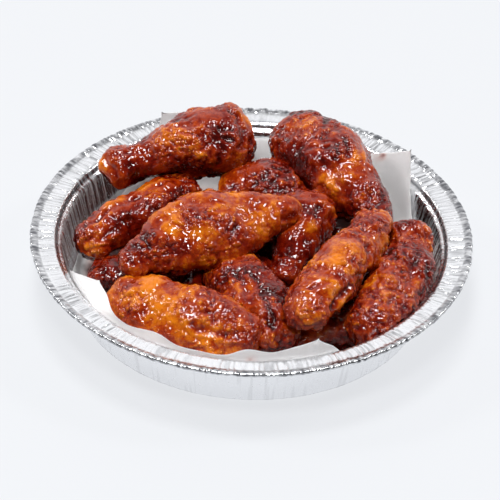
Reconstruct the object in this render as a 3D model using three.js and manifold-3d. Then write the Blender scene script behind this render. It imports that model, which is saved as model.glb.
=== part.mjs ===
// Chicken wings served in a round foil pan lined with a sheet of deli paper.
// Units are millimetres, +Z is up, and the origin is the middle of the pan's underside.

import * as THREE from 'three';
import { mergeVertices } from 'three/addons/utils/BufferGeometryUtils.js';
import Module from 'manifold-3d';

const wasm = await Module();
wasm.setup();

// ---------------------------------------------------------------- driving sizes

const PAN_RADIUS = 115;         // outside of the flared lip
const PAN_HEIGHT = 38.7;        // table to the top of the lip
const PAN_BASE_RADIUS = 91.7;   // where the wall meets the base
const WALL_TOP = [98.9, 31.8];  // radius and height where the wall ends in a step
const FOIL = 0.7;               // foil thickness, with its wrinkles
const PAN_SEGMENTS = 60;

const PAPER = 0.6;              // paper thickness, with its crinkles
const GAP = 0.35;               // clearance between pieces that touch
const LEAN = 0.55;              // how far a wing stays off the one it leans on

const RINGS = 20;               // rings along a wing that shows
const SIDES = 16;               // points round it
const DEEP_RINGS = 10;          // the same for a wing deep in the heap
const DEEP_SIDES = 10;
const TRIM = 0.17;              // how far a facet may move to be left out

// ---------------------------------------------------------------- materials

const foil = new THREE.MeshStandardMaterial({ color: 0xd9dbde, roughness: 0.32, metalness: 1 });
const paper = new THREE.MeshStandardMaterial({ color: 0xf1f0ee, roughness: 0.8, metalness: 0 });
const glaze = (hex) => new THREE.MeshStandardMaterial({ color: hex, roughness: 0.22, metalness: 0 });

// ---------------------------------------------------------------- seeded noise

function hash(i, j, k, seed) {
  let n = Math.imul(i, 374761393) + Math.imul(j, 668265263) + Math.imul(k, 1274126177);
  n = Math.imul(n ^ (n >>> 13) ^ Math.imul(seed, 97531), 1103515245);
  n ^= n >>> 16;
  return (n >>> 0) / 4294967295;
}

// smooth noise from -1 to 1
function noise(x, y, z, seed) {
  const i = Math.floor(x), j = Math.floor(y), k = Math.floor(z);
  const ease = (t) => t * t * t * (t * (t * 6 - 15) + 10);
  const u = ease(x - i), v = ease(y - j), w = ease(z - k);
  const mix = THREE.MathUtils.lerp;
  const edge = (b, c) => mix(hash(i, j + b, k + c, seed), hash(i + 1, j + b, k + c, seed), u);
  return 2 * mix(mix(edge(0, 0), edge(1, 0), v), mix(edge(0, 1), edge(1, 1), v), w) - 1;
}

// relief of the fried skin: broad lumps with sharper crags over them
function crags(p, seed) {
  const lump = noise(p.x / 15, p.y / 15, p.z / 15, seed);
  const ridge = 1 - 2 * Math.abs(noise(p.x / 9, p.y / 9, p.z / 9, seed + 7));
  return 1.9 * lump + 1.5 * ridge;
}

// ---------------------------------------------------------------- solids

function toSolid(geometry) {
  const bare = geometry.clone();
  bare.deleteAttribute('normal');
  bare.deleteAttribute('uv');
  const merged = mergeVertices(bare, 1e-4);
  const mesh = new wasm.Mesh({
    numProp: 3,
    vertProperties: new Float32Array(merged.attributes.position.array),
    triVerts: new Uint32Array(merged.index.array),
  });
  return new wasm.Manifold(mesh);
}

function toGeometry(solid) {
  const mesh = solid.getMesh();
  const geometry = new THREE.BufferGeometry();
  geometry.setAttribute('position', new THREE.BufferAttribute(new Float32Array(mesh.vertProperties), 3));
  geometry.setIndex(new THREE.BufferAttribute(new Uint32Array(mesh.triVerts), 1));
  geometry.computeVertexNormals();
  return geometry;
}

function largestPiece(solid) {
  return solid.decompose().sort((a, b) => b.volume() - a.volume())[0];
}

// a closed skin over rows of points, between a first and a last point; the rows from turn on
// run back over the ones before, so their facets are split the other way to stay parallel
function skin(first, rows, last, turn = rows.length) {
  const sides = rows[0].length;
  const points = [first, ...rows.flat(), last];
  const index = [];
  const at = (row, side) => 1 + row * sides + (side % sides);
  for (let s = 0; s < sides; s++) {
    index.push(0, at(0, s + 1), at(0, s));
    index.push(points.length - 1, at(rows.length - 1, s), at(rows.length - 1, s + 1));
    for (let r = 0; r + 1 < rows.length; r++) {
      const apex = r < turn ? at(r + 1, s + 1) : at(r + 1, s);
      index.push(at(r, s), at(r, s + 1), apex);
      index.push(r < turn ? at(r, s) : at(r, s + 1), at(r + 1, s + 1), at(r + 1, s));
    }
  }
  const geometry = new THREE.BufferGeometry();
  const flat = points.flatMap((p) => [p.x, p.y, p.z]);
  geometry.setAttribute('position', new THREE.BufferAttribute(new Float32Array(flat), 3));
  geometry.setIndex(index);
  geometry.computeVertexNormals();
  return geometry;
}

// ---------------------------------------------------------------- foil pan

// the outside of the pan from the base to the tip of the lip, as [radius, height]
const OUTSIDE = [
  [PAN_BASE_RADIUS - 2.2, 0],
  [PAN_BASE_RADIUS - 0.5, 0.5],
  [PAN_BASE_RADIUS + 0.4, 2.2],
  [WALL_TOP[0], WALL_TOP[1]],
  [WALL_TOP[0] + 1.8, WALL_TOP[1] + 1.2],
  [WALL_TOP[0] + 3.8, WALL_TOP[1] + 3.3],
  [110.8, 36.6],
  [PAN_RADIUS - 0.6, PAN_HEIGHT - 1.9],
  [PAN_RADIUS, PAN_HEIGHT - 1.0],
];

// the same line on the inside, at a given distance from the outside
function inside(offset) {
  return [
    [PAN_RADIUS - 0.5, PAN_HEIGHT - FOIL + offset],
    [110.8, 36.6 + offset],
    [WALL_TOP[0] + 3.4, WALL_TOP[1] + 3.5 + offset],
    [WALL_TOP[0] + 1.5, WALL_TOP[1] + 1.3 + offset],
    [WALL_TOP[0] - offset, WALL_TOP[1] + offset * 0.6],
    [PAN_BASE_RADIUS + 0.4 - offset, 2.4],
    [PAN_BASE_RADIUS - 1.2 - offset, offset + 0.4],
    [PAN_BASE_RADIUS - 3.2 - offset, offset],
  ];
}

function lathe(profile, segments) {
  const points = profile.map(([r, z]) => new THREE.Vector2(r, z));
  return new THREE.LatheGeometry(points, segments).rotateX(Math.PI / 2);
}

function panGeometry() {
  return lathe([[0, 0], ...OUTSIDE, ...inside(FOIL), [0, FOIL]], PAN_SEGMENTS);
}

// all the room inside and above the pan, a clearance away from its foil
function roomInPan() {
  const lined = inside(FOIL + GAP).reverse();
  const top = PAN_HEIGHT + GAP;
  const profile = [[0, FOIL + GAP], ...lined, [PAN_RADIUS, top], [140, top], [140, 140], [0, 140]];
  return toSolid(lathe(profile, PAN_SEGMENTS));
}

// ---------------------------------------------------------------- paper liner

// the edge of the sheet as [direction in degrees, radius, height]: its four corners stand
// up at 33, 121, 212 and 291 degrees, and its long sides lie low against the wall
const SHEET_EDGE = [
  [-30, 92.6, 13], [-12, 92.4, 12], [6, 92.6, 13], [19, 93.2, 15], [24.6, 94.1, 17],
  [28, 96.0, 26], [30, 97.2, 33], [31.1, 97.8, 42], [32.2, 98.4, 50], [33, 99.1, 56.6],
  [35.7, 98.9, 54], [40.7, 98.4, 48], [48.8, 97.8, 39], [58, 97.3, 34], [70, 97.1, 31.5],
  [80, 97.0, 30.5], [90, 97.0, 30], [98, 97.2, 32], [106, 97.6, 40], [113.3, 98.6, 50],
  [117.4, 98.8, 51.8], [121.2, 98.8, 53], [122.4, 98.4, 46], [124.5, 97.4, 36], [130, 94.8, 22],
  [140, 93.2, 15], [156, 92.6, 12.5], [172, 92.5, 12], [186, 93.2, 15], [194, 95.4, 24],
  [199, 98.2, 33.6], [203, 96.4, 36.6], [208, 92.5, 38.8], [212, 90.0, 40], [216, 90.4, 39.6],
  [220, 91.8, 39.2], [224, 96.8, 38.4], [228, 99.2, 36.8], [232, 98.8, 36], [237, 98.6, 37.6],
  [241, 96.9, 38.4], [244.5, 98.6, 38.4], [248, 100.2, 36.8], [252.5, 100.6, 36.2], [257, 100.2, 36.7],
  [262, 101.0, 36.6], [265.5, 100.4, 37.2], [268, 98.9, 39.4], [271, 98.7, 40.6], [274.5, 99.2, 39.2],
  [277.5, 99.5, 38.4], [280.5, 98.8, 39.4], [284, 98.4, 40.4], [287.5, 98.2, 41.4], [291, 98.4, 43.4],
  [292.8, 98.2, 40], [295, 98.8, 38.2], [297, 98.6, 34.6], [299.5, 97.0, 29.5], [304, 95.4, 23],
  [312, 93.6, 17], [320, 92.8, 14],
];

// the underside of the sheet, a clearance off the foil: from the middle of the base, over
// the crease at the foot of the wall and up the wall to the edge
const SHEET = SHEET_EDGE.map(([degrees, radius, height]) => {
  const a = THREE.MathUtils.degToRad(degrees);
  const crinkle = 0.5 + 0.5 * noise(degrees / 7, 3.3, 0, 11);
  const floor = FOIL + GAP;
  const foot = PAN_BASE_RADIUS - 2.4 - FOIL - GAP;
  const slope = (WALL_TOP[0] - PAN_BASE_RADIUS) / WALL_TOP[1];
  const wall = (z) => PAN_BASE_RADIUS - 0.5 - FOIL - GAP + slope * z - 1.5 * crinkle;
  const low = Math.min(height * 0.55, 17);
  const high = Math.min(height * 0.84, 31);
  const lines = [
    [50, floor + 0.5 * crinkle],
    [foot - 4, floor + 0.4 * crinkle],
    [wall(4.2), 4.2],
    [wall(low), low],
    [wall(high), high],
    [radius, height],
  ];
  return lines.map(([r, z]) => new THREE.Vector3(r * Math.cos(a), r * Math.sin(a), z));
});

// one line of the sheet, counted from the middle, moved square to its face and past its edge
function sheetLine(i, distance, beyond = 0) {
  const count = SHEET.length, lines = SHEET[0].length;
  return SHEET.map((row, j) => {
    const beside = SHEET[(j + 1) % count][i].clone().sub(SHEET[(j + count - 1) % count][i]);
    const outward = row[Math.min(i + 1, lines - 1)].clone().sub(row[Math.max(i - 1, 0)]).normalize();
    const face = outward.clone().cross(beside).normalize();
    return row[i].clone().addScaledVector(face, distance).addScaledVector(outward, beyond);
  });
}

const sheetLines = (distance) => SHEET[0].map((_, i) => sheetLine(i, distance));

function paperGeometry() {
  const first = new THREE.Vector3(0, 0, FOIL + GAP);
  const last = new THREE.Vector3(0, 0, FOIL + GAP + PAPER);
  const under = sheetLines(0);
  return skin(first, [...under, ...sheetLines(PAPER).reverse()], last, under.length);
}

// the paper with a clearance all round it
function paperRoom() {
  const edge = SHEET[0].length - 1;
  const under = [...sheetLines(-GAP), sheetLine(edge, -GAP, GAP)];
  const over = [...sheetLines(PAPER + GAP), sheetLine(edge, PAPER + GAP, GAP)];
  const first = new THREE.Vector3(0, 0, FOIL);
  const last = new THREE.Vector3(0, 0, FOIL + PAPER + 2 * GAP);
  return toSolid(skin(first, [...under, ...over.reverse()], last, under.length));
}

// ---------------------------------------------------------------- wings

// half widths along a wing, from its thin end to its thick end, as parts of the full size
const SHAPES = {
  flat: [[0, 0.6], [0.1, 0.7], [0.28, 0.9], [0.5, 1], [0.72, 0.95], [0.88, 0.78], [1, 0.6]],
  tapered: [
    [0, 0.3], [0.1, 0.38], [0.19, 0.54], [0.3, 0.86], [0.46, 1], [0.58, 0.95], [0.73, 0.73], [0.88, 0.52],
    [1, 0.34],
  ],
  drumette: [
    [0, 0.44], [0.1, 0.5], [0.24, 0.52], [0.42, 0.74], [0.6, 0.95], [0.78, 1], [0.92, 0.86], [1, 0.7],
  ],
  plump: [[0, 0.36], [0.1, 0.42], [0.24, 0.56], [0.38, 0.81], [0.55, 1], [0.72, 0.96], [0.88, 0.8], [1, 0.6]],
};

// lumps where bone ends and folds of skin push out, on every wing of a shape: [part of the
// length, degrees round, height, spread]
const KNOBS = {
  flat: [[0.05, 10, 2.4, 7], [0.06, 185, 2, 6], [0.93, 0, 2.2, 7], [0.94, 170, 2.6, 7], [0.6, 200, 1.6, 12]],
  tapered: [[0.04, 190, 2.4, 6], [0.3, 20, 2, 10], [0.95, 160, 2, 6], [0.62, 200, 1.6, 12]],
  drumette: [
    [0.05, 0, 2.6, 6], [0.06, 180, 2.8, 6], [0.9, 20, 2.4, 9], [0.8, 190, 2.2, 10], [0.55, 80, 1.8, 12],
  ],
  plump: [[0.06, 20, 2, 6], [0.9, 20, 2, 8], [0.6, 190, 1.6, 12], [0.75, 80, 1.6, 9]],
};

// single lumps that stand out on one wing: [place, height, spread]
const LUMPS = {
  drumette_top_left: [[[-13, 80, 64], 4.5, 6], [[-33, 76, 62], 3, 8], [[-70, 38, 50], 2, 6]],
  flat_top_middle: [[[-62, -34, 36], 3.5, 6]],
  flat_top_right: [[[61, -27, 42], 4.5, 6], [[50, -52, 34], 3, 7], [[34, -74, 42], 3, 7]],
  drumette_top_back: [[[14, 84, 60], 2.5, 7], [[52, 56, 54], 2, 8], [[66, 30, 42], 2, 7]],
  drumette_middle: [[[34, 24, 47], 3, 7], [[42, 14, 38], 3, 7]],
  flat_right: [[[60, -62, 22], 3.5, 9], [[91, -22, 38], 2.5, 7], [[70, 6, 46], 2.5, 7]],
  flat_front_middle: [[[8, -78, 28], 3, 7], [[22, -68, 26], 2.5, 6]],
};

// each wing runs from its thin end to its thick end, with the topmost first: bow is how its
// middle stands off the straight line, face is the way its broad side looks, and a deep wing
// lies low in the heap
const WINGS = [
  {
    name: 'drumette_top_left', shape: 'drumette', thin: [-79, 42, 41], thick: [-1, 68, 48], bow: [0, 1, 5],
    width: 36, depth: 34, face: [0, -0.5, 0.87], rough: 0.9, seed: 3, colour: 0x9c3d10,
  },
  {
    name: 'flat_top_middle', shape: 'tapered', thin: [-67, -33, 39], thick: [25, 13, 46], bow: [-3, -1, 3],
    width: 42, depth: 25, face: [0.1, -0.5, 0.86], rough: 0.7, seed: 5, colour: 0xb04a12,
  },
  {
    name: 'flat_top_right', shape: 'flat', thin: [68, 6, 46], thick: [23, -75, 36], bow: [-1, 0, 3],
    width: 26, depth: 24, face: [-0.3, -0.4, 0.86], rough: 1.1, seed: 8, colour: 0xb24b13,
  },
  {
    name: 'drumette_top_back', shape: 'plump', thin: [71, 9, 37], thick: [17, 86, 46], bow: [0, 0, 2],
    width: 39, depth: 35, face: [-0.2, -0.5, 0.84], rough: 1.1, seed: 13, colour: 0x97390f,
  },
  {
    name: 'flat_right', shape: 'flat', thin: [83, 8, 37], thick: [58, -71, 25], bow: [6, 0, 2],
    width: 29, depth: 25, face: [0.1, -0.5, 0.86], rough: 1.1, seed: 21, colour: 0x8e340f,
  },
  {
    name: 'flat_front', shape: 'flat', thin: [-72, -45, 27], thick: [7, -76, 26], bow: [-3, -4, 4],
    width: 38, depth: 26, face: [-0.1, -0.5, 0.86], rough: 0.8, seed: 34, colour: 0xbb5414,
  },
  {
    name: 'flat_left', shape: 'flat', thin: [-88, -5, 25], thick: [-31, 46, 33], bow: [0, 0, 3],
    width: 26, depth: 24, face: [-0.2, -0.6, 0.78], rough: 0.9, seed: 55, colour: 0x92360f,
  },
  {
    name: 'flat_behind_middle', shape: 'flat', thin: [-19, 40, 33], thick: [34, 46, 33], bow: [0, -2, 3],
    width: 33, depth: 26, face: [0, -0.3, 0.95], rough: 0.8, seed: 89, colour: 0x7e280c,
  },
  {
    name: 'drumette_middle', shape: 'drumette', thin: [15, -23, 22], thick: [28, 32, 34], bow: [3, 0, 3],
    width: 27, depth: 27, face: [0, -0.4, 0.9], rough: 0.9, seed: 144, colour: 0x6f210b,
  },
  {
    name: 'flat_front_middle', shape: 'flat', thin: [-18, -18, 28], thick: [13, -77, 20], bow: [4, 3, 5],
    width: 35, depth: 25, face: [0.1, -0.5, 0.86], rough: 1.2, seed: 233, colour: 0x8b310e,
  },
  {
    name: 'flat_low_left', shape: 'flat', thin: [-84, -15, 17], thick: [-30, -12, 17], bow: [0, -3, 2],
    width: 29, depth: 25, face: [0, 0, 1], rough: 0.9, seed: 377, colour: 0x6d220b, deep: true,
  },
  {
    name: 'drumette_low_right', shape: 'drumette', thin: [15, -62, 13], thick: [72, -32, 17], bow: [2, 2, 1],
    width: 33, depth: 26, face: [0, 0, 1], rough: 0.9, seed: 610, colour: 0x6d220b, deep: true,
  },
  {
    name: 'flat_low_front', shape: 'flat', thin: [-60, -50, 13], thick: [6, -58, 12], bow: [0, -3, 0],
    width: 30, depth: 20, face: [0, 0, 1], rough: 0.8, seed: 987, colour: 0x6d220b, deep: true,
  },
  {
    name: 'drumette_low_middle', shape: 'drumette',
    thin: [50, -6, 14], thick: [-40, -20, 17], bow: [0, -4, 2],
    width: 34, depth: 27, face: [0, 0, 1], rough: 0.8, seed: 1597, colour: 0x6d220b, deep: true,
  },
  {
    name: 'flat_low_back', shape: 'flat', thin: [-14, 60, 14], thick: [42, 62, 14], bow: [0, 8, 0],
    width: 34, depth: 23, face: [0, 0, 1], rough: 0.8, seed: 2584, colour: 0x6d220b, deep: true,
  },
  {
    name: 'drumette_low_back', shape: 'drumette', thin: [60, 18, 17], thick: [-36, 20, 17], bow: [0, 4, 1],
    width: 36, depth: 29, face: [0, 0, 1], rough: 0.8, seed: 4181, colour: 0x6d220b, deep: true,
  },
];

function along(table, u) {
  const i = Math.max(1, table.findIndex(([at]) => at >= u));
  const [a, x] = table[i - 1], [b, y] = table[i];
  return THREE.MathUtils.lerp(x, y, THREE.MathUtils.smoothstep(u, a, b));
}

function wingGeometry({ name, shape, thin, thick, bow, width, depth, face, rough, seed, deep }, grow = 0) {
  const start = new THREE.Vector3(...thin), end = new THREE.Vector3(...thick);
  const middle = start.clone().lerp(end, 0.5).add(new THREE.Vector3(...bow));
  const curve = new THREE.CatmullRomCurve3([start, middle, end]);
  const rings = deep ? DEEP_RINGS : RINGS;
  const sides = deep ? DEEP_SIDES : SIDES;
  const up = new THREE.Vector3(...face).normalize();

  // the point on the plain body at a part of the length and an angle round it
  const body = (u, angle) => {
    const centre = curve.getPoint(u);
    const ahead = curve.getTangent(u);
    const across = new THREE.Vector3().crossVectors(up, ahead).normalize();
    const out = new THREE.Vector3().crossVectors(ahead, across).normalize();
    const cap = Math.sqrt(1 - Math.max(0, 1 - 9 * u, 1 - 7 * (1 - u)) ** 2);
    const part = along(SHAPES[shape], u) * cap;
    const x = Math.sign(Math.cos(angle)) * Math.abs(Math.cos(angle)) ** 0.9 * width / 2 * part;
    const y = Math.sign(Math.sin(angle)) * Math.abs(Math.sin(angle)) ** 0.9 * depth / 2 * part;
    const point = centre.clone().addScaledVector(across, x).addScaledVector(out, y);
    return { point, away: point.clone().sub(centre).normalize(), cap };
  };
  const knobs = KNOBS[shape].map(([u, degrees, height, spread], i) => {
    const turn = 40 * noise(seed, i, 0.5, 5);
    return { at: body(u, THREE.MathUtils.degToRad(degrees + turn)).point, height, spread };
  });
  for (const [place, height, spread] of LUMPS[name] ?? []) {
    knobs.push({ at: new THREE.Vector3(...place), height, spread });
  }

  const rows = [];
  for (let r = 1; r < rings; r++) {
    const u = THREE.MathUtils.lerp(r / rings, 0.5 - 0.5 * Math.cos(Math.PI * r / rings), 0.7);
    const row = [];
    for (let s = 0; s < sides; s++) {
      const { point, away, cap } = body(u, 2 * Math.PI * (s + 0.5 * (r % 2)) / sides);
      let rise = rough * crags(point, seed) * Math.min(1, 2.2 * cap) + grow;
      for (const { at, height, spread } of knobs) {
        rise += height * Math.exp(-((point.distanceTo(at) / spread) ** 2));
      }
      row.push(point.addScaledVector(away, rise));
    }
    rows.push(row);
  }
  const tip = (point) => point.clone().addScaledVector(point.clone().sub(middle).normalize(), grow);
  return skin(tip(start), rows, tip(end));
}

// ---------------------------------------------------------------- assembly

const group = new THREE.Group();
group.name = 'chicken_wings_serving';

function place(name, geometry, material) {
  geometry.computeBoundingBox();
  const centre = geometry.boundingBox.getCenter(new THREE.Vector3()).round();
  geometry.translate(-centre.x, -centre.y, -centre.z);
  const mesh = new THREE.Mesh(geometry, material);
  mesh.name = name;
  mesh.position.copy(centre);
  group.add(mesh);
}

place('foil_pan', panGeometry(), foil);
place('paper_liner', paperGeometry(), paper);

// the wings higher in the heap press into the ones below
const room = roomInPan().subtract(paperRoom());
let above = null;
for (const wing of WINGS) {
  let solid = toSolid(wingGeometry(wing)).intersect(room);
  if (above) solid = solid.subtract(above);
  solid = largestPiece(solid).simplify(TRIM);
  place(wing.name, toGeometry(solid), glaze(wing.colour));
  const grown = toSolid(wingGeometry(wing, LEAN));
  above = above ? above.add(grown) : grown;
}

export default group;
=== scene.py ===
"""Glazed chicken wings in a foil pan lined with deli paper, made over their CAD solids."""

import math

import bmesh
import bpy
import numpy as np
from mathutils import Matrix, Vector


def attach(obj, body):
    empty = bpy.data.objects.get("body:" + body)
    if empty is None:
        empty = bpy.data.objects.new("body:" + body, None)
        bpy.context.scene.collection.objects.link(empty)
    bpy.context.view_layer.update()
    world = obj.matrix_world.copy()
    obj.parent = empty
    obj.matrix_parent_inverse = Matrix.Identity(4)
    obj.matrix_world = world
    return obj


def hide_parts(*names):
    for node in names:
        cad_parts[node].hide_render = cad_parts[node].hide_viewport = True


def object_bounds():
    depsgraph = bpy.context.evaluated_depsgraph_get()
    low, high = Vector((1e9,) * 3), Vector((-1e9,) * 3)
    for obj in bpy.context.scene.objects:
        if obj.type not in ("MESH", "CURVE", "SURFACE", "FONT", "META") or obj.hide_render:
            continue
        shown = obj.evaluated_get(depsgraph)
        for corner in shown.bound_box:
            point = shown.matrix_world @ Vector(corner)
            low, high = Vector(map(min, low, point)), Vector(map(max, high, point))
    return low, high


bl_info = {
    "name": "Chicken wings serving",
    "version": (1, 0, 0),
    "blender": (4, 5, 0),
    "location": "View3D > Sidebar > Wings",
    "description": "Makes a foil pan, its paper and a heap of glazed wings",
    "category": "Object",
}

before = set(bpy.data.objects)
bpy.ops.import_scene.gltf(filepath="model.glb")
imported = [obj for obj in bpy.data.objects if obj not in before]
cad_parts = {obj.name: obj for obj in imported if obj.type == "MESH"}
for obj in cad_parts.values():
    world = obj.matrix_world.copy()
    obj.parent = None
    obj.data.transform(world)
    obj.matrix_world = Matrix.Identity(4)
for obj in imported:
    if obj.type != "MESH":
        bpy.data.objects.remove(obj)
CAD_BOX = [list(corner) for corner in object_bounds()]
LIP_RADIUS = CAD_BOX[1][0]
CEILING = CAD_BOX[1][2]
MM = 0.001

# corners of triangles that are closer than this, in metres, are one
SAME_PLACE = 1e-6

# how much bare orange crust each wing shows, from 0 to 1, and how much of it is craggy batter; the first is
# partly painted shade, as wings low in the heap are set darker
WINGS = {
    "drumette_top_left": (0.5, 0.5),
    "flat_top_middle": (0.55, 0.35),
    "flat_top_right": (0.6, 0.5),
    "drumette_top_back": (0.47, 0.5),
    "flat_right": (0.52, 0.75),
    "flat_front": (0.72, 0.45),
    "flat_left": (0.42, 0.45),
    "flat_behind_middle": (0.42, 0.15),
    "drumette_middle": (0.34, 0.25),
    "flat_front_middle": (0.48, 0.7),
    "flat_low_left": (0.26, 0.7),
    "drumette_low_right": (0.36, 0.8),
    "flat_low_front": (0.25, 0.6),
    "drumette_low_middle": (0.25, 0.6),
    "flat_low_back": (0.3, 0.6),
    "drumette_low_back": (0.28, 0.6),
}

# low wings that are mostly hidden, made with a coarser skin
DEEP = ("flat_low_front", "drumette_low_middle", "flat_low_back", "drumette_low_back")


class PanSettings(bpy.types.PropertyGroup):
    lip_radius: bpy.props.FloatProperty(
        name="Lip radius", description="Outside of the rolled lip", default=LIP_RADIUS, unit="LENGTH"
    )
    steps: bpy.props.IntProperty(name="Steps", description="Facets round the pan", default=1440, min=90)
    pleat: bpy.props.FloatProperty(
        name="Pleat depth", description="Depth of the flange's creases", default=0.00045, unit="LENGTH"
    )
    foil: bpy.props.StringProperty(name="Foil", description="Colour of the bare foil", default="F6F7F9")


class PaperSettings(bpy.types.PropertyGroup):
    crinkle: bpy.props.FloatProperty(
        name="Crinkle", description="Height of the sheet's soft crinkles", default=0.0005, unit="LENGTH"
    )
    colour: bpy.props.StringProperty(name="Colour", description="Colour of the sheet", default="FFFFFF")
    soaked_and_painted_shade: bpy.props.StringProperty(
        name="Soaked", description="Colour where glaze soaks in", default="5E1A0A"
    )


class WingSettings(bpy.types.PropertyGroup):
    grain: bpy.props.FloatProperty(
        name="Grain", description="Size of the skin's facets", default=0.00055, unit="LENGTH"
    )
    crag: bpy.props.FloatProperty(
        name="Crag height", description="Height of the batter's crags", default=0.001, unit="LENGTH"
    )
    crust: bpy.props.StringProperty(name="Crust", description="Colour of the bare crust", default="CC7010")
    glaze: bpy.props.StringProperty(
        name="Glaze", description="Colour of a thin coat of glaze", default="691003"
    )
    syrup: bpy.props.StringProperty(name="Syrup", description="Colour of pooled glaze", default="400401")


class StageSettings(bpy.types.PropertyGroup):
    floor: bpy.props.StringProperty(name="Floor", description="Colour of the table's glow", default="F4F6FA")
    glow: bpy.props.FloatProperty(name="Glow", description="Light from under the table top", default=0.77)
    key: bpy.props.FloatProperty(
        name="Key", description="Power of the lamp overhead", default=36.0, unit="POWER"
    )
    front: bpy.props.FloatProperty(
        name="Front", description="Power of the lamp in front", default=34.0, unit="POWER"
    )
    sides: bpy.props.FloatProperty(
        name="Sides", description="Power of each lamp at the side", default=13.0, unit="POWER"
    )
    fill: bpy.props.FloatProperty(name="Fill", description="Strength of the light all round", default=1.0)
    height: bpy.props.FloatProperty(
        name="Height",
        description="The camera's angle above the table",
        default=math.radians(37.04),
        unit="ROTATION",
    )


# ---------------------------------------------------------------- shader helpers


def linear(code):
    """The linear colour of an sRGB hex value."""
    parts = [int(code[i : i + 2], 16) / 255 for i in (0, 2, 4)]
    return tuple(p / 12.92 if p <= 0.04045 else ((p + 0.055) / 1.055) ** 2.4 for p in parts) + (1.0,)


def node(tree, kind, inputs=None, stops=(), **settings):
    """Adds a node. A value in inputs is a constant, a socket to link from, or a node that stands
    for its first output. A colour ramp's stops are (place, colour), from the lowest place up."""
    made = tree.nodes.new(kind)
    for name, value in settings.items():
        setattr(made, name, value)
    for name, value in (inputs or {}).items():
        if isinstance(value, bpy.types.Node):
            value = value.outputs[0]
        if isinstance(value, bpy.types.NodeSocket):
            tree.links.new(value, made.inputs[name])
        else:
            made.inputs[name].default_value = value
    if stops:
        elements = made.color_ramp.elements
        for _ in stops[2:]:
            elements.new(0.5)
        for element, (place, colour) in zip(elements, stops):
            element.position = place
            element.color = colour
    return made


def limits(old, new):
    """The inputs with which a Map Range node moves values from one range to another."""
    return {"From Min": old[0], "From Max": old[1], "To Min": new[0], "To Max": new[1]}


def spaced(apart):
    """The scale of a texture whose marks lie a given number of millimetres apart."""
    return 1 / (apart * MM)


def new_material(name):
    material = bpy.data.materials.new(name)
    material.use_nodes = True
    material.node_tree.nodes.clear()
    return material, material.node_tree


# ---------------------------------------------------------------- materials

# how far apart the materials' marks lie, in mm, and how long the foil's creases are
CREASE = 1.667
CREASE_LENGTH = 20.0
CRUMPLE = 2.222
FIBRE = 1.111
PULP_CLOUD = 14.29
BLOTCH = 4.167
SPECK = 0.909
LARGE_PIMPLE = 3.03
SMALL_PIMPLE = 1.786
CRUMB = 2.083

# the middle part of a noise texture's range, in which nearly all of its values lie
MIDDLE = (0.3, 0.7)


def foil_material(colour):
    """Aluminium foil, cold rolled and stamped: a bright metal, blurred by fine rolling lines, with creases
    that run up the wall and out across the flange. Painted shade darkens its colour in the creases, round
    the shoulder, on the crimped lip and along the wall's waves."""
    material, tree = new_material("aluminium_foil_stamped")
    flow = node(tree, "ShaderNodeAttribute", attribute_name="flow").outputs["Vector"]
    place = node(tree, "ShaderNodeTexCoord").outputs["Object"]
    # flow is in millimetres: round the pan, then along its profile, as the creases run
    per_mm = (1 / CREASE, 1 / CREASE, 1 / CREASE_LENGTH)
    drawn_out = node(tree, "ShaderNodeMapping", {"Vector": flow, "Scale": per_mm})
    lines = {"Vector": drawn_out, "Scale": 1.0, "Detail": 3.0, "Roughness": 0.6}
    folds = node(tree, "ShaderNodeTexNoise", lines)
    crumples = node(tree, "ShaderNodeTexNoise", {"Vector": place, "Scale": spaced(CRUMPLE), "Detail": 2.0})
    relief = node(tree, "ShaderNodeBump", {"Height": folds, "Strength": 0.5, "Distance": 0.8 * MM})
    dents = {"Height": crumples, "Strength": 0.1, "Distance": 0.4 * MM, "Normal": relief}
    relief = node(tree, "ShaderNodeBump", dents)
    rough = node(tree, "ShaderNodeMapRange", {"Value": crumples, **limits(MIDDLE, (0.18, 0.28))})
    # painted shade: the foil is darkened towards grey in its creases, round the shoulder's foot, on the
    # crimped lip and along the wall's waves
    painted_shade = node(tree, "ShaderNodeAttribute", attribute_name="painted_shade").outputs["Fac"]
    shades = [(0.05, linear(colour)), (1.0, linear("707176"))]
    tint = node(tree, "ShaderNodeValToRGB", {"Fac": painted_shade}, stops=shades)
    metal = {"Base Color": tint, "Metallic": 1.0, "Roughness": rough, "Normal": relief}
    shader = node(tree, "ShaderNodeBsdfPrincipled", metal)
    node(tree, "ShaderNodeOutputMaterial", {"Surface": shader})
    return material


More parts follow.
